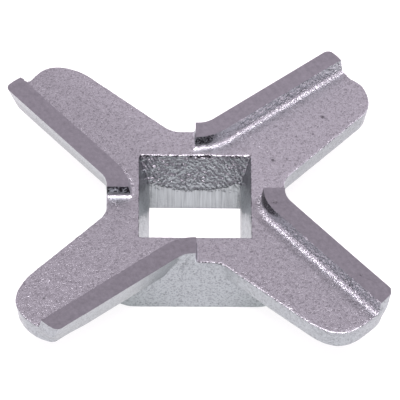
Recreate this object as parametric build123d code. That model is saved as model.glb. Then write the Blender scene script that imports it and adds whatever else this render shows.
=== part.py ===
from build123d import *
import os
from math import hypot, radians, tan

# Meat grinder knife: one casting with four swept arms, a raised cutting land ground
# flat along the leading side of each arm, and a square hub broached for the feed screw.
# Millimetres, +Z up, origin on the bore axis in the plane of the hub's lower face.

# sizes across the whole knife
tipDiameter = 51.2        # circle swept by the arm tips
plateTop = 7.4            # hub's lower face to the as-cast top of the arms
landHeight = 1.45         # cutting lands above that top

# square hub, flush with the notches between the arms
hubWidth = 19.3
hubCorner = 3.0
hubEdge = 0.3             # broken edge round the lower face

# square drive hole: cored with draft at the mouth, broached below
boreWidth = 10.0
mouthDepth = 3.75
mouthRim = 3.6            # metal left at the top between the mouth and the hub's sides

# arms: each side leaves the flat of a notch on a curve, then runs straight to the tip
armCount = 4
leadAngle = 39.9          # cutting side, to X
leadFlat = 0.28           # flat before the cutting side's curve, from the notch's middle
trailAngle = 47.8
trailFlat = 1.59
notchRadius = 2.6
armThickness = 2.45
castDraft = 8.0           # arm walls lean in toward the underside
tipCorner = 4.8           # round from the tip into the trailing side
armEdge = 0.25            # broken edge round the underside

# cutting lands
landWidth = 2.6           # at the foot
landDraft = 13.0          # inner wall leans back as it rises
undercutAngle = 20.4      # leading face falls back under the cutting edge
landCorner = 0.8          # outer corner of the cutting edge at the tip
landBlend = 0.5           # fillet from the land's inner walls down to the arm

hubHalf = hubWidth / 2
armTurn = 360 / armCount
mouthWidth = hubWidth - 2 * mouthRim
nearly = 0.001            # slack when faces and edges are picked by place


def outward(angle):
    """A long step in plan, at an angle to X, that ends beyond the tips."""
    return Vector(2 * tipDiameter, 0, 0).rotate(Axis.Z, angle)


def setback(radius, bend):
    """How far a curve of a radius begins before the corner of a bend."""
    return radius * tan(radians(bend) / 2)


def roundCorner(face, point, radius):
    """Round the corner of a flat face that lies nearest a point."""
    corner = face.vertices().sort_by_distance(point)[0]
    return fillet(corner, radius)


def allRound(shape):
    """The shape repeated for every arm."""
    return [shape.rotate(Axis.Z, armTurn * i) for i in range(armCount)]


def levelFaces(solid, height):
    """Level faces of a solid at a height."""
    return solid.faces().filter_by(Axis.Z).filter_by(
        lambda face: abs(face.center().Z - height) < nearly)


# corners where the leading, inner land and trailing lines leave the notch flats
leadNotch = Vector(leadFlat + setback(notchRadius, leadAngle), hubHalf)
innerNotch = leadNotch + Vector(setback(landWidth, leadAngle), -landWidth)
trailNotch = Vector(hubHalf, trailFlat + setback(notchRadius, 90 - trailAngle))
leadFar = leadNotch + outward(leadAngle)
innerFar = innerNotch + outward(leadAngle)
trailFar = trailNotch + outward(trailAngle)

# plan of one arm: from the notch on +Y round the tip to the notch on +X
armSides = make_face(Polyline(
    (0, 0), (0, hubHalf), leadNotch, leadFar, trailFar, trailNotch, (hubHalf, 0), close=True))
armPlan = armSides & Circle(tipDiameter / 2)
trailTip, leadTip = [end.center() for end in armPlan.vertices().sort_by(Axis.Y)[-2:]]
for cornerPoint, cornerRadius in (
    (leadNotch, notchRadius),
    (trailNotch, notchRadius),
    (trailTip, tipCorner),
):
    armPlan = roundCorner(armPlan, cornerPoint, cornerRadius)

# a land is the arm's plan raised, less everything behind its drafted inner wall
behindLand = make_face(Polyline(
    (0, -hubHalf), (0, innerNotch.Y), innerNotch, innerFar, trailFar, outward(0), close=True))
behindLand = roundCorner(behindLand, innerNotch, notchRadius + landWidth)
leanUp = Vector(0, 0, 1).rotate(Axis.X, -landDraft).rotate(Axis.Z, leadAngle)
land = extrude(armPlan, amount=landHeight) - extrude(
    behindLand, amount=2 * landHeight, dir=leanUp)

# arms with their draft, then the lands on top
arms = extrude(Sketch() + allRound(armPlan), amount=-armThickness, taper=castDraft)
knife = Pos(0, 0, plateTop) * (arms + allRound(land))

# the space in front of each cutting edge, leaned back under it, cuts the leading face
frontPlan = make_face(Polyline((0, hubHalf), leadNotch, leadFar, outward(90), close=True))
frontPlan = Pos(0, 0, plateTop + landHeight) * roundCorner(frontPlan, leadNotch, notchRadius)
leanDown = Vector(0, 0, -1).rotate(Axis.X, -undercutAngle).rotate(Axis.Z, leadAngle)
leadCut = extrude(frontPlan, amount=2 * (landHeight + armThickness), dir=leanDown)
knife -= allRound(leadCut)

# round the outer end of each cutting edge, down the whole corner of the arm
tipCorners = [
    edge
    for corner in allRound(leadTip)
    for edge in knife.edges()
    if edge.bounding_box().size.Z > landHeight - nearly
    and hypot(edge.center().X - corner.X, edge.center().Y - corner.Y) < landWidth / 2
]
knife = fillet(tipCorners, landCorner)

# hub up to the top of the arms, and the drive hole through it
knife += extrude(RectangleRounded(hubWidth, hubWidth, hubCorner), amount=plateTop)
mouthCut = loft([
    Pos(0, 0, plateTop) * Rectangle(mouthWidth, mouthWidth),
    Pos(0, 0, plateTop - mouthDepth) * Rectangle(boreWidth, boreWidth),
])
boreCut = extrude(Rectangle(boreWidth, boreWidth), amount=plateTop + landHeight)
knife -= [mouthCut, boreCut]

# blend the lands' inner and end walls into the arms
armTop = levelFaces(knife, plateTop).sort_by(SortBy.AREA)[-1]
landWallEdges = knife.faces().filter_by(
    lambda face: abs(face.bounding_box().size.Z - landHeight) < nearly).edges()
landFeet = [edge for edge in armTop.edges() if edge in landWallEdges]
knife = fillet(landFeet, landBlend)

# break the edges of the arms' undersides, outside the hub, and of the hub's lower face
armFeet = [
    edge
    for face in levelFaces(knife, plateTop - armThickness)
    for edge in face.outer_wire().edges()
    if max(abs(edge.center().X), abs(edge.center().Y)) > hubHalf + nearly
]
knife = fillet(armFeet, armEdge)
knife = fillet(levelFaces(knife, 0)[0].outer_wire().edges(), hubEdge)

os.makedirs("parts", exist_ok=True)
export_step(knife, "parts/knife.step")
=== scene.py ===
# Cast meat grinder knife with ground cutting lands, on a white studio floor.
import math
import bpy
import numpy as np
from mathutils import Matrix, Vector, noise


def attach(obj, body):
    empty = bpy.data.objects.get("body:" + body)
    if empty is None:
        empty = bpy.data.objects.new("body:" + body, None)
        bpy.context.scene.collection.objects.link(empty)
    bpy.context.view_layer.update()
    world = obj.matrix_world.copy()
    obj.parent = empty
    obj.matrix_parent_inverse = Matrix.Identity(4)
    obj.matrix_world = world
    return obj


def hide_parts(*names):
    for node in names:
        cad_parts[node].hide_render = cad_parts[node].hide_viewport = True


mm = 0.001
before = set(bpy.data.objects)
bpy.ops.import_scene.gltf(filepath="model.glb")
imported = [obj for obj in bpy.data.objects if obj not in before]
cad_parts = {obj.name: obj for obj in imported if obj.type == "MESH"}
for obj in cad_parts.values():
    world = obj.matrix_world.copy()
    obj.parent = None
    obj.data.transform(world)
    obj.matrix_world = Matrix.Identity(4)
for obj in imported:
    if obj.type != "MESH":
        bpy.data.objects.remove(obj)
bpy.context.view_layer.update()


def toLinear(code):
    # an sRGB hex colour as the linear one that nodes take
    parts = [int(code[i:i + 2], 16) / 255 for i in (1, 3, 5)]
    return [c / 12.92 if c <= 0.04045 else ((c + 0.055) / 1.055) ** 2.4 for c in parts] + [1.0]


def addNode(material, kind, settings=None, links=None):
    # settings go on the node's sockets or on the node; links name (node, output)
    tree = material.node_tree
    node = tree.nodes.new(kind)
    for name, value in (settings or {}).items():
        if isinstance(name, int) or name in node.inputs:
            node.inputs[name].default_value = value
        else:
            setattr(node, name, value)
    for name, (source, output) in (links or {}).items():
        tree.links.new(source.outputs[output], node.inputs[name])
    return node


def newMaterial(name):
    material = bpy.data.materials.new(name)
    material.use_nodes = True
    material.node_tree.nodes.clear()
    return material


def selectOnly(thing):
    bpy.ops.object.select_all(action="DESELECT")
    thing.select_set(True)
    bpy.context.view_layer.objects.active = thing


def applyModifier(thing, kind, settings):
    # adds a modifier with its settings and applies it at once
    selectOnly(thing)
    modifier = thing.modifiers.new(kind.lower(), kind)
    for name, value in settings.items():
        setattr(modifier, name, value)
    bpy.ops.object.modifier_apply(modifier=modifier.name)


def readPoints(thing):
    # vertex places in millimetres
    points = np.empty(len(thing.data.vertices) * 3)
    thing.data.vertices.foreach_get("co", points)
    return points.reshape(-1, 3) / mm


def writePoints(thing, points):
    thing.data.vertices.foreach_set("co", (points * mm).ravel())
    thing.data.update()


def ramp(value, low, high):
    # 0 below low, 1 above high, eased between
    t = np.clip((value - low) / (high - low), 0, 1)
    return t * t * (3 - 2 * t)


def noiseAt(points, size, seed=0.0):
    # smooth noise, about -0.5 to 0.5, on features of a size in millimetres
    return np.array([noise.noise(Vector(p) / size + Vector((seed, seed, seed))) for p in points])


# the knife: the casting's own shape, remeshed in small cells so that its skin can be worked.
# Millimetres and degrees; rows of four give the arms in turn, from the one between +X and +Y
knifeShape = {
    # the casting
    "plateTop": 7.4,         # as-cast top of the hub and arms
    "landTop": 8.85,         # ground top of the lands
    "boxHalf": 20.714,       # nothing reaches further out
    "hubHalf": 9.65,
    "mouthHalf": 6.05,       # drive hole at the top
    "mouthFoot": 3.65,       # where its mouth ends and the broached part starts
    "boreHalf": 5.0,
    "leadAngle": 39.9,       # cutting edge, in plan
    "leadFlat": 0.28,
    "notchRadius": 2.6,
    "undercut": 20.4,
    "landWidth": 2.265,      # at the top
    "landEnd": 7.05,         # the lands' ends over the hub start this far from the bore's axis
    "wallDraft": 13.0,       # the lands' inner walls lean back
    "castFillet": 0.5,       # at the foot of those walls
    # its skin
    "softSteps": 18,         # smoothing of the cast edges
    "waveSize": 2.2,
    "waveDepth": 0.06,
    "grainSize": 0.5,
    "grainDepth": 0.035,
    "wallDepth": 0.045,      # roughness of the lands' inner walls
    "flushFade": (1.0, 2.0), # leading faces are flush with the hub before, undercut after
    # the torn mouth
    "tearDepth": 0.11,
    "tearStretch": 0.22,
    "mouthBow": 0.9,         # the core sagged in the middle of the back
    "mouthLeft": 0.13,       # and stood out on the left
    # each arm's own: how much nearer its cutting edge the inner wall stands, and the radius
    # of that wall's foot, along it and at the hub
    "wallShift": (0.22, 0.0, 0.0, 0.02),
    "footRadius": (0.68, 0.5, 0.5, 0.62),
    "endRadius": (0.5, 0.5, 0.5, 0.12),
    # each arm's tip, at plan angles from its trailing side: how far it stands out or in
    "tipAngles": (33, 34, 36, 38, 40, 42, 44, 46, 48, 50, 52, 54),
    "tipShift": (
        (0.2, 0.4, 0.1, -0.1, -0.25, -0.35, -0.5, -0.72, -0.68, -0.45, -0.15, 0.0),
        (-0.15, -0.1, 0.1, 0.23, 0.22, 0.05, -0.2, -0.43, -0.4, -0.3, -0.1, 0.0),
        (-0.3, -0.5, -0.1, 0.05, 0.0, -0.1, -0.15, -0.22, -0.25, -0.22, -0.15, -0.15),
        (0.0, 0.0, 0.5, 0.52, 0.4, 0.22, 0.08, 0.0, 0.05, 0.1, 0.12, 0.1),
    ),
    "cornerUnder": (0.0, -0.1, 0.6, 0.15),  # the tip's lower leading corner is drawn in
    "armDrop": (0.0, 0.0, 0.0, 0.15),       # the arm's underside hangs lower
    # pits in the skin: x, y, half length, depth
    "pits": (
        (14.05, 12.01, 0.24, 0.12), (12.9, 9.42, 0.13, 0.08), (11.03, 9.03, 0.14, 0.08),
        (8.46, 5.46, 0.26, 0.1), (-16.17, -14.92, 0.16, 0.1), (8.54, -2.11, 0.3, 0.13),
        (17.57, -12.58, 0.17, 0.1), (-7.59, 3.63, 0.14, 0.08), (10.0, 5.7, 0.15, 0.07),
        (10.9, 4.9, 0.13, 0.07), (9.6, 4.7, 0.12, 0.07), (16.4, -13.1, 0.13, 0.07),
    ),
    "triangles": 190000,
}


def armPlaces(points, shape):
    # each point's arm, its plan place turned back to the first arm, how far out along the
    # cutting edge it is and how far behind it, measured round the notch's curve
    arm = (np.floor(np.arctan2(points[:, 1], points[:, 0]) / (math.pi / 2)) % 4).astype(int)
    turn = -arm * math.pi / 2
    x = points[:, 0] * np.cos(turn) - points[:, 1] * np.sin(turn)
    y = points[:, 0] * np.sin(turn) + points[:, 1] * np.cos(turn)
    lead = math.radians(shape["leadAngle"])
    dx = x - shape["leadFlat"]
    dy = y - shape["hubHalf"] - shape["notchRadius"]
    along = dx * math.cos(lead) + dy * math.sin(lead)
    behind = np.where(dx < 0, -dy, np.hypot(dx, dy)) - shape["notchRadius"]
    straight = dx * math.sin(lead) - dy * math.cos(lead) - shape["notchRadius"]
    return arm, x, y, along, np.where(along > 0, straight, behind)


def turnBack(points, arm, x, y):
    # plan places in the first arm's frame, back to each point's own arm
    turn = arm * math.pi / 2
    points[:, 0] = x * np.cos(turn) - y * np.sin(turn)
    points[:, 1] = x * np.sin(turn) + y * np.cos(turn)


def edgeCurve(x, shape):
    # how far out the cutting edge is at a place across the notch
    dx = np.clip(x - shape["leadFlat"], 0, 0.95 * shape["notchRadius"])
    return shape["hubHalf"] + shape["notchRadius"] - np.sqrt(shape["notchRadius"] ** 2 - dx ** 2)


def shapeFront(points, shape):
    # beside the hub the leading face is not undercut but runs straight up from the hub's side
    arm, x, y, along, behind = armPlaces(points, shape)
    z = points[:, 2]
    top = shape["plateTop"]
    lead = math.radians(shape["leadAngle"])
    fadeStart, fadeEnd = shape["flushFade"]
    lean = (shape["landTop"] - z) * math.tan(math.radians(shape["undercut"]))
    leanY = edgeCurve(x - lean * math.sin(lead), shape) - lean * math.cos(lead)
    flushY = edgeCurve(x, shape)
    beside = (x > -0.06) & (x < fadeEnd - 0.05)
    onFace = beside & (np.abs(y - leanY) < 0.1) & (z > top - 0.05) & (z < shape["landTop"] - 0.01)
    onLedge = beside & (np.abs(z - top) < 0.1) & (y > leanY - 0.06) & (y < shape["hubHalf"] + 0.06)
    put = onFace | onLedge
    y[put] = (flushY - ramp(x, fadeStart, fadeEnd) * (flushY - leanY))[put]
    turnBack(points, arm, x, y)


def shapeFeet(points, shape):
    # the first and last lands: a wide soft corner from the inner wall down to the arm, tighter
    # where the last one leaves the hub, and none round their ends
    arm, x, y, along, behind = armPlaces(points, shape)
    top = shape["plateTop"]
    lead = math.radians(shape["leadAngle"])
    slope = math.tan(math.radians(shape["wallDraft"]))
    spread = math.hypot(1, slope) - slope  # a fillet's middle from the wall's foot, per radius
    castRadius = shape["castFillet"]
    castFoot = (shape["landTop"] - top) * slope
    back = behind - shape["landWidth"]
    up = points[:, 2] - top
    shaped = (arm == 0) | (arm == 3)
    endRadius = np.array(shape["endRadius"])[arm]
    tight = castRadius - endRadius
    grown = ramp(x, 0.1 + 2 * tight, 1.2 + 4 * tight)
    radius = endRadius + (np.array(shape["footRadius"])[arm] - endRadius) * grown

    # a tighter corner: points slide from the casting's own fillet to the smaller one
    level = castFoot + castRadius * spread - back
    onFillet = np.abs(np.hypot(level, castRadius - up) - castRadius) < 0.1
    onFillet &= (radius < castRadius) & (x > -0.02) & (level > -0.05) & (up < 0.55) & (up > -0.05)
    turn = np.arctan2(castRadius - up, level)
    slide = (castFoot + radius * (spread - np.cos(turn)) - back)[onFillet]
    x[onFillet] += slide * math.sin(lead)
    y[onFillet] -= slide * math.cos(lead)
    points[onFillet, 2] = (top + radius * (1 - np.sin(turn)))[onFillet]

    # no corner round the ends over the hub
    atEnd = shaped & (x > -0.6) & (x < 0.02) & (y > 6.2) & (up > -0.02) & (up < 0.55)
    away = np.hypot(x, np.clip(shape["landEnd"] - y, 0, None))
    points[atEnd & (away > up), 2] = top
    upright = atEnd & (away <= up)
    x[upright] = np.maximum(x[upright], -0.02)

    # a wider corner: the arm rises and the wall stands out to meet it
    foot = castFoot - np.array(shape["wallShift"])[arm]
    middle = foot + radius * spread
    halfway = middle - 0.7 * radius
    wider = shaped & (x > 0) & (radius >= castRadius) & (up > -0.12) & (up < radius)
    wider &= (back < middle) & (back > foot - 0.45)
    low = wider & (back > halfway)
    arc = radius - np.sqrt(np.clip(radius ** 2 - (middle - back) ** 2, 0, None)) - 0.02
    points[low, 2] = top + np.maximum(up, arc)[low]
    steep = wider & (back <= halfway) & (up > 0)
    outTo = middle - np.sqrt(np.clip(radius ** 2 - (radius - up) ** 2, 0, None))
    push = np.maximum(outTo - back, 0)[steep]
    x[steep] += push * math.sin(lead)
    y[steep] -= push * math.cos(lead)
    turnBack(points, arm, x, y)


def groupSkin(knife, points, shape):
    # ground or broached faces stay true, the rest is cast skin
    arm, x, y, along, behind = armPlaces(points, shape)
    z = points[:, 2]
    lean = (shape["landTop"] - z) * math.tan(math.radians(shape["undercut"]))
    back = behind - shape["landWidth"]
    onWall = (z > shape["plateTop"] - 0.05) & (back < 1.1) & (back > -0.4) & (x > -0.1)
    undercutSkin = 0.15  # the leading faces are smoother
    cast = np.ones(len(points))
    cast[(np.abs(behind - lean) < 0.15) & (along > 0)] = undercutSkin
    cast[z > shape["landTop"] - 0.05] = 0
    cast[(wideOf(points) < shape["mouthHalf"] + 0.15) & (z < shape["mouthFoot"] - 0.05)] = 0
    cast[z < 0.02] = 0
    cast[onWall & (z > shape["plateTop"] + 0.3) & ((arm == 1) | (arm == 2))] = 0
    skin = knife.vertex_groups.new(name="castSkin")
    for level in (1.0, undercutSkin):
        skin.add(np.flatnonzero(cast == level).tolist(), level, "REPLACE")
    soft = knife.vertex_groups.new(name="softEdges")
    soft.add(np.flatnonzero((cast == 1) & ~onWall).tolist(), 1.0, "REPLACE")


def roughen(knife, size, depth, group):
    # pushes the skin in and out along its normals
    texture = bpy.data.textures.new(f"skin{int(size * 100)}", "CLOUDS")
    texture.noise_scale = size * mm
    texture.noise_depth = 2
    applyModifier(knife, "DISPLACE", {
        "texture": texture, "texture_coords": "LOCAL", "strength": depth * mm, "mid_level": 0.5,
        "vertex_group": group})


def shapeLandWalls(points, shape):
    # the lands' inner walls as cast: rough, ragged where the grinding meets them, and each
    # where its own mould put it
    arm, x, y, along, behind = armPlaces(points, shape)
    z = points[:, 2]
    lead = math.radians(shape["leadAngle"])
    back = behind - shape["landWidth"]
    near = (z > shape["plateTop"] - 0.3) & (back > -1.3) & (back < 1.9) & (x > -0.5)
    near = np.flatnonzero(near)
    back = back[near]
    shift = np.array(shape["wallShift"])[arm[near]] * ramp(back, -1.3, -0.1) * ramp(-back, -1.9, -0.9)
    rough = noiseAt(points[near], 0.3) + 0.8 * noiseAt(points[near], 0.16, 5)
    high = ramp(z[near], shape["plateTop"] + 0.05, shape["plateTop"] + 0.5)
    rough *= high * ramp(back, -0.3, 0.0) * ramp(along[near], 0.5, 3.5)
    push = shape["wallDepth"] * 2 * rough - shift
    x[near] += push * math.sin(lead)
    y[near] -= push * math.cos(lead)
    turnBack(points, arm, x, y)


def shapeMouth(points, shape):
    # the cored mouth is torn at its back; the broach has cut what stood into its square
    z = points[:, 2]
    top = shape["plateTop"]
    foot = shape["mouthFoot"]
    for axis in (0, 1):
        across = points[:, 1 - axis]
        out = np.abs(points[:, axis])
        wall = (out < shape["mouthHalf"] + 0.35) & (out > shape["boreHalf"] - 0.1)
        wall &= (np.abs(across) < shape["mouthHalf"] + 0.15) & (out >= np.abs(across) - 0.05)
        wall = np.flatnonzero(wall & (z > 0.5) & (z < top + 0.02))
        spot = points[wall].copy()
        side = np.sign(spot[:, axis])
        wide, high = across[wall], z[wall]
        # strands slant down across the wall, with coarse and fine tearing over them
        strand = np.column_stack((
            0.8 * wide + 0.6 * high, shape["tearStretch"] * (0.6 * wide - 0.8 * high),
            6.0 * side + 13 * axis))
        torn = 0.9 * noiseAt(strand, 0.19) + noiseAt(spot, 0.9, 3) + 0.9 * noiseAt(spot, 0.24, 9)
        depth = shape["tearDepth"] * ramp(high, foot - 1.6, foot + 0.4)
        depth *= 1 - 0.6 * ramp(high, top - 0.4, top)
        depth *= np.where((side > 0) & (axis == 1), 1, 0.15)
        # where the core sagged, the broached part starts lower
        bow = shape["mouthBow"] * (1 - (wide / 4.2) ** 2).clip(0, 1)
        reach = np.clip(high - foot + bow, 0, bow)
        sag = 0.28 * reach * ramp(-high, -top, -5.0) * ((side > 0) & (axis == 1))
        left = shape["mouthLeft"] * ramp(high, foot, top) * ((side < 0) & (axis == 0))
        moved = np.abs(spot[:, axis]) + depth * torn + sag + left
        points[wall, axis] = side * np.maximum(moved, shape["boreHalf"])


def shapeTips(points, shape):
    # no two tips left the mould alike
    arm, x, y, along, behind = armPlaces(points, shape)
    z = points[:, 2]
    radius = np.hypot(points[:, 0], points[:, 1])
    angle = np.degrees(np.arctan2(y, x))
    for index, shift in enumerate(shape["tipShift"]):
        here = (arm == index) & (radius > 19)
        push = np.interp(angle[here], shape["tipAngles"], shift) * ramp(radius[here], 20, 24.5)
        under = ramp(angle[here], 47, 53) * ramp(-z[here], -7.2, -5.6) * ramp(radius[here], 19.5, 24)
        push -= shape["cornerUnder"][index] * under
        points[here, :2] *= (1 + push / radius[here])[:, None]
    under = ramp(-z, -7.0, -5.2) * ramp(radius, 12.5, 16) * (z > 3)
    points[:, 2] -= under * np.array(shape["armDrop"])[arm]


def pressPits(points, shape):
    for px, py, half, depth in shape["pits"]:
        away = np.hypot(points[:, 0] - px, points[:, 1] - py) / half
        here = (away < 1.3) & (points[:, 2] > shape["plateTop"] - 0.5)
        points[here, 2] -= 0.35 * depth * ramp(-away[here], -1.3, -0.3)


def makeKnife(shape):
    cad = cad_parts["knife"]
    knife = cad.copy()
    knife.data = cad.data.copy()
    knife.name = "castKnife"
    knife.parent = None
    bpy.context.scene.collection.objects.link(knife)
    selectOnly(knife)
    bpy.ops.object.mode_set(mode="EDIT")
    bpy.ops.mesh.select_all(action="SELECT")
    bpy.ops.mesh.remove_doubles(threshold=0.001 * mm)
    bpy.ops.object.mode_set(mode="OBJECT")
    applyModifier(knife, "REMESH", {  # cells of about 0.08 mm
        "mode": "SHARP", "octree_depth": 9, "scale": 0.99, "use_remove_disconnected": False})
    print("knife remeshed", len(knife.data.polygons))

    points = readPoints(knife)
    shapeFront(points, shape)
    shapeFeet(points, shape)
    writePoints(knife, points)

    # soften the cast edges, keep the ground ones
    groupSkin(knife, points, shape)
    applyModifier(knife, "SMOOTH", {
        "factor": 0.5, "iterations": shape["softSteps"], "vertex_group": "softEdges"})
    roughen(knife, shape["waveSize"], shape["waveDepth"], "castSkin")
    roughen(knife, shape["grainSize"], shape["grainDepth"], "castSkin")

    points = readPoints(knife)
    shapeLandWalls(points, shape)
    shapeMouth(points, shape)
    shapeTips(points, shape)
    pressPits(points, shape)
    points[:, :2] = np.clip(points[:, :2], -shape["boxHalf"], shape["boxHalf"])
    points[:, 2] = np.clip(points[:, 2], 0, shape["landTop"])
    writePoints(knife, points)
    applyModifier(knife, "DECIMATE", {"ratio": shape["triangles"] / (2 * len(knife.data.polygons))})
    print("knife shaped", len(knife.data.polygons))
    return knife


# how the finish, and the painted light and shade, vary over the knife; rows of four give the arms in
# turn
knifePaint = {
    # brightness: as a share of the finish's own, or added to it
    "topLightTone": 0.03,         # painted light, added on the hub and arms
    "nearLightTone": 0.14,        # and more of it toward the first arm
    "landTone": (1.13, 1.05, 0.95, 1.0),
    "wallLightTone": 1.08,        # painted light on the first land's inner wall
    "endLightTone": 1.6,          # painted light on the third land's end over the hub
    "pastEndShadeTone": 0.6,      # painted shade past the first land's end
    "footShadeTone": -0.08,       # painted shade, added at the first land's foot
    "hookShadeTone": -0.4,        # painted shade, added where the last land leaves the hub
    "sideShadeTone": (0.84, 0.95),     # painted shade on the sides behind the bore and in front of it
    "mouthTone": 0.1,        # added at the back of the mouth
    # how coarse the cast skin is
    "topSkin": 0.38,
    "footSkin": 1.0,
    "wallSkin": 0.6,
    "sideSkin": 0.2,
    "tornSkin": 0.5,         # the torn back of the mouth
    "mouthSkin": 0.06,
    # painted shade and shadow, and a darker streak
    "edgeShade": ((0, 2.9, 0.95), (3, 5.0, 1.35)),  # arm, reach along it, depth
    "footShade": (0.09, 0.0, 0.0, 0.22),
    "endShade": (0.6, 1.9, 0.1, 0.0),
    "tornShadow": 0.5,
    "mouthShade": 0.26,
    "rimShade": 0.8,
    "rimSize": 0.35,         # size of its broken patches
    "pitShade": 0.6,
    # a slanting darker streak on the hub's front: its top and foot, where it starts and its run
    "markDarkness": 0.28,
    "markTop": 8.2,
    "markFoot": 6.3,
    "markX": -0.78,
    "markRun": -0.7,
}


def wideOf(points):
    return np.maximum(np.abs(points[:, 0]), np.abs(points[:, 1]))


def paint(knife, name, values):
    layer = knife.data.attributes.new(name, "FLOAT", "POINT")
    layer.data.foreach_set("value", values)


def paintToneAndLight(knife, shape, look):
    # how bright each part is: painted light and shade over most of it, the ground tops' own tone arm
    # by arm, and a little brighter at the back of the mouth
    points = readPoints(knife)
    arm, x, y, along, behind = armPlaces(points, shape)
    z = points[:, 2]
    top, landTop = shape["plateTop"], shape["landTop"]
    wide = wideOf(points)
    toneAndLight = np.ones(len(points))
    # painted light: the tops brighter toward the first arm
    onTop = ramp(z, top - 0.15, top - 0.05) * (z < top + 0.1)
    toneAndLight += onTop * (look["topLightTone"] + look["nearLightTone"] * ramp(points[:, 0] + points[:, 1], 0, 7.5))
    # painted light, lifting the shade on the third land's end over the hub
    atEnd = (arm == 2) & (np.abs(x) < 0.1) & (z > top + 0.02) & (z < landTop - 0.03)
    toneAndLight[atEnd] = look["endLightTone"]
    # painted light on the first land's inner wall
    onWall = (arm == 0) & (behind > 1.5) & (wide > 6.5) & (z > top + 0.1) & (z < landTop - 0.03)
    toneAndLight[onWall] = look["wallLightTone"]
    # painted shade, duller at the first arm's foot, where the last land leaves the hub and past the
    # first's end
    atFoot = (z > top - 0.05) & (z < top + 0.5) & (behind > 2)
    toneAndLight += look["footShadeTone"] * (atFoot & (arm == 0) & (x > 0)) * ramp(-behind, -3.7, -3.3)
    hook = (atFoot & (arm == 3) & (x > -0.5)) * ramp(-x, -2.4, -1.2) * ramp(-behind, -3.3, -2.9)
    toneAndLight += look["hookShadeTone"] * hook
    pastEnd = (arm == 0) & (x > -0.6) & (x < 0.03) & (y > 6.0)
    toneAndLight[pastEnd & (z > top + 0.01) & (z < top + 0.5)] = look["pastEndShadeTone"]
    # the lands' own tone, painted shade on the sides, and the mouth
    onLand = z > landTop - 0.03
    toneAndLight[onLand] = np.array(look["landTone"])[arm[onLand]]
    onSide = (z < top - 0.2) & (wide > shape["hubHalf"] - 0.35)
    toneAndLight[onSide] = np.where(points[onSide, 1] > 0, *look["sideShadeTone"])
    inMouth = (wide < 6.3) & (z < top - 0.1)
    toneAndLight[inMouth] = 1 + look["mouthTone"] * ramp(points[inMouth, 1], 4.0, 4.9)
    paint(knife, "toneAndLight", toneAndLight)


def paintSkin(knife, shape, look):
    # how coarse the cast skin is: most at the lands' feet and round the top's rim, less on
    # the top, finer on the sides and least in the mouth
    points = readPoints(knife)
    arm, x, y, along, behind = armPlaces(points, shape)
    z = points[:, 2]
    top = shape["plateTop"]
    skin = look["sideSkin"] + (1 - look["sideSkin"]) * ramp(z, top - 0.4, top - 0.25)
    skin -= (1 - look["topSkin"]) * ramp(z, top - 0.12, top - 0.05)
    back = behind - shape["landWidth"] + np.array(shape["wallShift"])[arm]
    foot = (z > top - 0.1) & (back < 1.3) & (back > -0.4) & (x > -0.4)
    coarser = look["footSkin"] - look["topSkin"]
    skin[foot] = look["topSkin"] + coarser * ramp(-back[foot], -0.9, -0.65)
    skin[foot & (z > top + 0.55)] = look["wallSkin"]
    inMouth = (wideOf(points) < 6.3) & (z < top - 0.12)
    atBack = points[inMouth, 1] > np.abs(points[inMouth, 0]) - 0.02
    skin[inMouth] = np.where(atBack, look["tornSkin"], look["mouthSkin"])
    paint(knife, "skin", skin)


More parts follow.
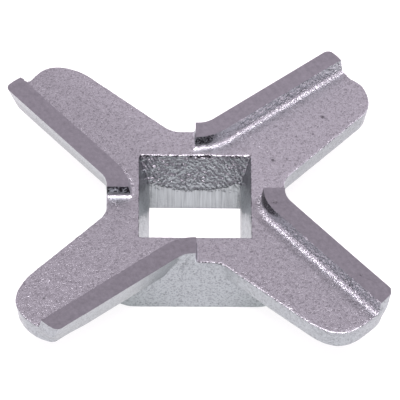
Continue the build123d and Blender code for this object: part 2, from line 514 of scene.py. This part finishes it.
def paintShadeAndStreak(knife, shape, look):
    # painted shade and shadow in the corners, recesses and pits, and a darker streak on the hub's
    # front
    points = readPoints(knife)
    arm, x, y, along, behind = armPlaces(points, shape)
    z = points[:, 2]
    wide = wideOf(points)
    top, landTop = shape["plateTop"], shape["landTop"]
    back = behind - shape["landWidth"]
    shadeAndStreak = np.zeros(len(points))
    # painted shade under the inner edge where two of the lands leave the hub, thinning out along it
    onWall = (z < landTop - 0.02) & (z > top + 0.1) & (back > -0.3) & (back < 0.6) & (x > -0.02)
    for index, reach, deep in look["edgeShade"]:
        here = onWall & (arm == index)
        thin = ramp(-x, -reach, -0.45 * reach)
        low = ramp(z, landTop - 0.25 - 0.85 * thin, landTop - 0.1 - 0.85 * thin)
        shadeAndStreak[here] = (deep * thin * low)[here]
    # a faint shade where those lands' feet meet the arm
    past = back + np.array(shape["wallShift"])[arm]
    foot = ramp(past, 0.85, 1.05) * ramp(-past, -1.9, -1.4) * (np.abs(z - top) < 0.12) * (x > 0.5)
    shadeAndStreak = np.maximum(shadeAndStreak, foot * np.array(look["footShade"])[arm])
    # painted shade on the lands' ends over the hub
    atEnd = (x > -0.3) & (x < 0.14) & (y > 6.8) & (y < 9.8) & (z > top + 0.25) & (z < landTop - 0.03)
    shadeAndStreak[atEnd] = np.maximum(shadeAndStreak, np.array(look["endShade"])[arm])[atEnd]
    # a painted shadow along the torn foot of the mouth's back, and painted shade in its sides toward
    # the back
    torn = (points[:, 1] > 5.015) & (points[:, 1] < 5.09) & (np.abs(points[:, 0]) < 4.3) & (z < 4.4)
    shadeAndStreak[torn] = look["tornShadow"]
    side = np.abs(points[:, 0]) > np.abs(points[:, 1]) - 0.02
    side &= (np.abs(points[:, 0]) < 6.15) & (z < top - 0.05)
    shadeAndStreak[side] = look["mouthShade"] * ramp(points[side, 1], -1.2, 0.6)
    # broken painted shade round the top's rim, most of it on the hub's front and the mouth's back
    normals = np.empty(len(points) * 3)
    knife.data.vertex_normals.foreach_get("vector", normals)
    tilt = normals.reshape(-1, 3)[:, 2]
    paintedDark = (points[:, 1] < -9.2) & (np.abs(points[:, 0] - 1.5) < 1.7)
    paintedDark |= (points[:, 1] > 6.0) & (wide < 6.5)
    rim = (z > top - 0.3) & (z < top - 0.03) & (tilt > 0.3) & (tilt < 0.95)
    rim |= paintedDark & (z > top - 0.3) & (z < top + 0.03) & (tilt > 0.2) & (tilt < 0.985)
    rim = np.flatnonzero(rim)
    broken = noiseAt(points[rim], look["rimSize"], 11) + 0.12 * (wide[rim] < 6.5) + 0.2 * paintedDark[rim]
    shadeAndStreak[rim] = np.maximum(shadeAndStreak[rim], look["rimShade"] * ramp(broken, 0.02, 0.1))
    # a slanting darker streak beside the third land's end, on the hub's front
    slip = np.clip((look["markTop"] - z) / (look["markTop"] - look["markFoot"]), 0, 1)
    beyond = np.clip(z - look["markTop"], 0, None) + np.clip(look["markFoot"] - z, 0, None)
    off = np.hypot(points[:, 0] - look["markX"] - look["markRun"] * slip, beyond)
    mark = (points[:, 1] < -9.3) * ramp(-off, -0.32, -0.1)
    shadeAndStreak = np.maximum(shadeAndStreak, look["markDarkness"] * mark)
    # painted shade in the pits
    for px, py, half, depth in shape["pits"]:
        away = np.hypot(points[:, 0] - px, points[:, 1] - py) / half
        here = (away < 1.5) & (z > top - 0.5)
        shadeAndStreak[here] = np.maximum(shadeAndStreak[here], look["pitShade"] * ramp(-away[here], -1.5, -0.5))
    paint(knife, "shadeAndStreak", shadeAndStreak)


def sharpenTops(knife, height):
    # a crisp edge all round the ground faces, so that they shade flat
    mesh = knife.data
    corners = np.empty(len(mesh.loops), dtype=int)
    edges = np.empty(len(mesh.loops), dtype=int)
    starts = np.empty(len(mesh.polygons), dtype=int)
    mesh.loops.foreach_get("vertex_index", corners)
    mesh.loops.foreach_get("edge_index", edges)
    mesh.polygons.foreach_get("loop_start", starts)
    level = np.minimum.reduceat(readPoints(knife)[corners, 2], starts) > height - 0.002
    level = np.repeat(level, np.diff(np.append(starts, len(corners))))
    sides = np.bincount(edges, weights=level, minlength=len(mesh.edges))
    sharp = np.zeros(len(mesh.edges), dtype=bool)
    layer = mesh.attributes.get("sharp_edge") or mesh.attributes.new("sharp_edge", "BOOLEAN", "EDGE")
    layer.data.foreach_get("value", sharp)
    layer.data.foreach_set("value", sharp | (sides == 1))


knife = makeKnife(knifeShape)
paintToneAndLight(knife, knifeShape, knifePaint)
paintSkin(knife, knifeShape, knifePaint)
paintShadeAndStreak(knife, knifeShape, knifePaint)
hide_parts("knife")
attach(knife, "root")
print("knife painted")

# the finish: sizes in millimetres, heights of the bumps too
platedIron = {
    "colour": "#abb1b4",
    "pitColour": "#868a8d",
    "roughness": 0.3,
    "grainSize": 0.22,       # orange peel
    "grainHeight": 0.11,
    "fineSize": 0.13,        # sparkle; any finer would not show
    "fineHeight": 0.045,
    "groundFrom": (8.82, 8.845),   # heights over which the ground tops take over
    "groundColour": "#8f9397",
    "markWidth": 0.3,        # grinding marks
    "markLength": 1.6,
    "markHeight": 0.003,
    "markAngle": -65,
    "stainSize": 0.5,
    "broachFrom": (5.05, 5.02),    # and the broached square
    "broachColour": "#9ea3a5",
    "streakWidth": 0.2,
    "streakLength": 5.0,
    "streakHeight": 0.03,
    # the colour of the painted shade and of the darker streak
    "shadeAndStreakColour": "#2c2a2f",
}


def makePlatedIron(settings):
    # bright plating over cast iron: a grey metal with a fine, worm-like orange peel from the
    # mould, darker with faint straight marks where ground, and streaked where broached
    iron = newMaterial("platedCastIron")
    place = addNode(iron, "ShaderNodeTexCoord")
    parts = addNode(iron, "ShaderNodeSeparateXYZ", None, {"Vector": (place, "Object")})
    # ground faces are the level tops of the lands
    groundLow, groundHigh = settings["groundFrom"]
    ground = addNode(iron, "ShaderNodeMapRange", {
        "From Min": groundLow * mm, "From Max": groundHigh * mm}, {"Value": (parts, "Z")})
    # broached faces lie on the square of the drive hole
    broachOut, broachIn = settings["broachFrom"]
    sideX = addNode(iron, "ShaderNodeMath", {"operation": "ABSOLUTE"}, {0: (parts, "X")})
    sideY = addNode(iron, "ShaderNodeMath", {"operation": "ABSOLUTE"}, {0: (parts, "Y")})
    square = addNode(iron, "ShaderNodeMath", {"operation": "MAXIMUM"}, {
        0: (sideX, "Value"), 1: (sideY, "Value")})
    broach = addNode(iron, "ShaderNodeMapRange", {
        "From Min": broachOut * mm, "From Max": broachIn * mm}, {"Value": (square, "Value")})

    # the cast skin: orange peel, darker in its pits
    grain = addNode(iron, "ShaderNodeTexNoise", {
        "Scale": 1 / (settings["grainSize"] * mm), "Detail": 2.0, "Roughness": 0.5, "Distortion": 1.2},
        {"Vector": (place, "Object")})
    fine = addNode(iron, "ShaderNodeTexNoise", {
        "Scale": 1 / (settings["fineSize"] * mm), "Detail": 2.0, "Roughness": 0.5},
        {"Vector": (place, "Object")})
    skin = addNode(iron, "ShaderNodeAttribute", {"attribute_name": "skin"})
    peel = addNode(iron, "ShaderNodeBump", {"Distance": settings["grainHeight"] * mm}, {
        "Strength": (skin, "Fac"), "Height": (grain, "Fac")})
    finePeel = addNode(iron, "ShaderNodeBump", {"Distance": settings["fineHeight"] * mm}, {
        "Strength": (skin, "Fac"), "Height": (fine, "Fac"), "Normal": (peel, "Normal")})
    pits = addNode(iron, "ShaderNodeMapRange", {"From Min": 0.34, "From Max": 0.54}, {
        "Value": (grain, "Fac")})
    castColour = addNode(iron, "ShaderNodeMix", {
        "data_type": "RGBA", 6: toLinear(settings["pitColour"]), 7: toLinear(settings["colour"])},
        {0: (pits, "Result")})

    # ground: straight marks and faint stains
    turned = addNode(iron, "ShaderNodeMapping", {
        "Rotation": (0, 0, math.radians(-settings["markAngle"]))}, {"Vector": (place, "Object")})
    along = addNode(iron, "ShaderNodeVectorMath", {"operation": "MULTIPLY", 1: (
        1 / (settings["markLength"] * mm), 1 / (settings["markWidth"] * mm), 0)},
        {0: (turned, "Vector")})
    marks = addNode(iron, "ShaderNodeTexNoise", {"Scale": 1.0, "Detail": 2.0, "Roughness": 0.6}, {
        "Vector": (along, "Vector")})
    scratched = addNode(iron, "ShaderNodeBump", {
        "Strength": 1.0, "Distance": settings["markHeight"] * mm}, {"Height": (marks, "Fac")})
    markTone = addNode(iron, "ShaderNodeMapRange", {
        "From Min": 0.3, "From Max": 0.7, "To Min": 0.96, "To Max": 1.04}, {"Value": (marks, "Fac")})
    stain = addNode(iron, "ShaderNodeTexNoise", {
        "Scale": 1 / (settings["stainSize"] * mm), "Detail": 6.0, "Roughness": 0.75},
        {"Vector": (place, "Object")})
    stainTone = addNode(iron, "ShaderNodeMapRange", {
        "From Min": 0.3, "From Max": 0.7, "To Min": 0.84, "To Max": 1.16}, {"Value": (stain, "Fac")})
    groundTone = addNode(iron, "ShaderNodeMath", {"operation": "MULTIPLY"}, {
        0: (markTone, "Result"), 1: (stainTone, "Result")})
    groundColour = addNode(iron, "ShaderNodeVectorMath", {
        "operation": "SCALE", 0: toLinear(settings["groundColour"])[:3]},
        {"Scale": (groundTone, "Value")})

    # broached: upright streaks
    upright = addNode(iron, "ShaderNodeVectorMath", {"operation": "MULTIPLY", 1: (
        1 / (settings["streakWidth"] * mm), 1 / (settings["streakWidth"] * mm),
        1 / (settings["streakLength"] * mm))}, {0: (place, "Object")})
    streaks = addNode(iron, "ShaderNodeTexNoise", {"Scale": 1.0, "Detail": 2.0, "Roughness": 0.6}, {
        "Vector": (upright, "Vector")})
    drawn = addNode(iron, "ShaderNodeBump", {
        "Strength": 1.0, "Distance": settings["streakHeight"] * mm}, {"Height": (streaks, "Fac")})
    streakTone = addNode(iron, "ShaderNodeMapRange", {
        "From Min": 0.3, "From Max": 0.7, "To Min": 0.75, "To Max": 1.2}, {"Value": (streaks, "Fac")})
    broachColour = addNode(iron, "ShaderNodeVectorMath", {
        "operation": "SCALE", 0: toLinear(settings["broachColour"])[:3]},
        {"Scale": (streakTone, "Result")})

    # which finish shows where
    colour = addNode(iron, "ShaderNodeMix", {"data_type": "RGBA"}, {
        0: (ground, "Result"), 6: (castColour, 2), 7: (groundColour, "Vector")})
    colour = addNode(iron, "ShaderNodeMix", {"data_type": "RGBA"}, {
        0: (broach, "Result"), 6: (colour, 2), 7: (broachColour, "Vector")})
    # the painted light and shade, with the ground tops' own tone, scale the colour
    toneAndLight = addNode(iron, "ShaderNodeAttribute", {"attribute_name": "toneAndLight"})
    colour = addNode(iron, "ShaderNodeVectorMath", {"operation": "SCALE"}, {
        0: (colour, 2), "Scale": (toneAndLight, "Fac")})
    normal = addNode(iron, "ShaderNodeMix", {"data_type": "VECTOR"}, {
        0: (ground, "Result"), 4: (finePeel, "Normal"), 5: (scratched, "Normal")})
    normal = addNode(iron, "ShaderNodeMix", {"data_type": "VECTOR"}, {
        0: (broach, "Result"), 4: (normal, 1), 5: (drawn, "Normal")})
    # the painted shade and the darker streak lie in the pits of the skin first
    shadeAndStreak = addNode(iron, "ShaderNodeAttribute", {"attribute_name": "shadeAndStreak"})
    patchy = addNode(iron, "ShaderNodeMapRange", {
        "From Min": 0.4, "From Max": 0.62, "To Min": 1.4, "To Max": 0.35}, {"Value": (fine, "Fac")})
    paintedDark = addNode(iron, "ShaderNodeMath", {"operation": "MULTIPLY", "use_clamp": True}, {
        0: (shadeAndStreak, "Fac"), 1: (patchy, "Result")})
    colour = addNode(iron, "ShaderNodeMix", {
        "data_type": "RGBA", 7: toLinear(settings["shadeAndStreakColour"])}, {
        0: (paintedDark, "Value"), 6: (colour, "Vector")})
    shader = addNode(iron, "ShaderNodeBsdfPrincipled", {
        "Metallic": 1.0, "Roughness": settings["roughness"]}, {
        "Base Color": (colour, 2), "Normal": (normal, 1)})
    addNode(iron, "ShaderNodeOutputMaterial", None, {"Surface": (shader, "BSDF")})
    return iron


knife.data.materials.clear()
knife.data.materials.append(makePlatedIron(platedIron))
selectOnly(knife)
bpy.ops.object.shade_smooth_by_angle(angle=math.radians(40))
sharpenTops(knife, knifeShape["landTop"])
print("knife finished")

# the studio, in metres: a white paper floor, a pale room and one softbox overhead
studio = {
    "floorSize": 3,
    "floorColour": "#88888a",
    "floorLift": 0.86,       # what the camera and the metal see of it is lifted to white
    "worldColour": "#eedae8",
    "worldBack": 1.07,       # the room is brighter behind the knife than in front of it
    "worldFront": 0.45,
    "worldSide": 1.3,        # added at both sides
    "overhead": 13.9,        # the softbox's brightness
    "overheadSize": 0.42,
    "overheadColour": "#fff0f7",
    "overheadHeight": 0.6,
    "overheadForward": 0.18,
    "overheadTilt": -10,
}


def makeFloor(settings):
    bpy.ops.mesh.primitive_plane_add(size=settings["floorSize"])
    floor = bpy.context.object
    floor.name = "studioFloor"
    paper = newMaterial("whitePaper")
    matte = addNode(paper, "ShaderNodeBsdfDiffuse", {"Color": toLinear(settings["floorColour"])})
    ray = addNode(paper, "ShaderNodeLightPath")
    seen = addNode(paper, "ShaderNodeMath", {"operation": "MAXIMUM"}, {
        0: (ray, "Is Camera Ray"), 1: (ray, "Is Glossy Ray")})
    seenToo = addNode(paper, "ShaderNodeMath", {"operation": "MAXIMUM"}, {
        0: (seen, "Value"), 1: (ray, "Is Transmission Ray")})
    lift = addNode(paper, "ShaderNodeMath", {"operation": "MULTIPLY", 1: settings["floorLift"]}, {
        0: (seenToo, "Value")})
    glow = addNode(paper, "ShaderNodeEmission", None, {"Strength": (lift, "Value")})
    both = addNode(paper, "ShaderNodeAddShader", None, {0: (matte, "BSDF"), 1: (glow, "Emission")})
    addNode(paper, "ShaderNodeOutputMaterial", None, {"Surface": (both, "Shader")})
    floor.data.materials.append(paper)


def makeRoom(settings):
    world = bpy.data.worlds.new("studio")
    bpy.context.scene.world = world
    world.use_nodes = True
    world.node_tree.nodes.clear()
    way = addNode(world, "ShaderNodeTexCoord")
    parts = addNode(world, "ShaderNodeSeparateXYZ", None, {"Vector": (way, "Generated")})
    level = addNode(world, "ShaderNodeMapRange", {
        "From Min": -1.0, "From Max": 1.0, "To Min": settings["worldFront"],
        "To Max": settings["worldBack"]}, {"Value": (parts, "Y")})
    wide = addNode(world, "ShaderNodeMath", {"operation": "ABSOLUTE"}, {0: (parts, "X")})
    side = addNode(world, "ShaderNodeMapRange", {
        "From Min": 0.5, "From Max": 0.9, "To Max": settings["worldSide"]}, {"Value": (wide, "Value")})
    total = addNode(world, "ShaderNodeMath", {"operation": "ADD"}, {
        0: (level, "Result"), 1: (side, "Result")})
    sky = addNode(world, "ShaderNodeBackground", {"Color": toLinear(settings["worldColour"])}, {
        "Strength": (total, "Value")})
    addNode(world, "ShaderNodeOutputWorld", None, {"Surface": (sky, "Background")})


def makeSoftbox(settings):
    bpy.ops.object.light_add(type="AREA", location=(
        0, -settings["overheadForward"], settings["overheadHeight"]))
    lamp = bpy.context.object
    lamp.name = "overheadSoftbox"
    lamp.rotation_euler = (math.radians(settings["overheadTilt"]), 0, 0)
    lamp.data.size = settings["overheadSize"]
    lamp.data.color = toLinear(settings["overheadColour"])[:3]
    lamp.data.energy = settings["overhead"] * math.pi * settings["overheadSize"] ** 2


makeFloor(studio)
makeRoom(studio)
makeSoftbox(studio)
print("studio ready")

# a long lens from in front, looking 47 degrees down
lookout = {
    "place": (-0.0065114, -0.3677920, 0.4058008),
    "angles": (42.6667745, -0.8543621, -0.1617934),
    "lens": 450,
    "nearest": 0.05,
    "furthest": 10,
}


def makeCamera(settings):
    bpy.ops.object.camera_add(
        location=settings["place"], rotation=[math.radians(a) for a in settings["angles"]])
    camera = bpy.context.object
    camera.data.sensor_width = 36
    camera.data.lens = settings["lens"]
    camera.data.clip_start = settings["nearest"]
    camera.data.clip_end = settings["furthest"]
    bpy.context.scene.camera = camera


makeCamera(lookout)
bpy.context.scene.view_settings.view_transform = "Standard"
print("camera set")
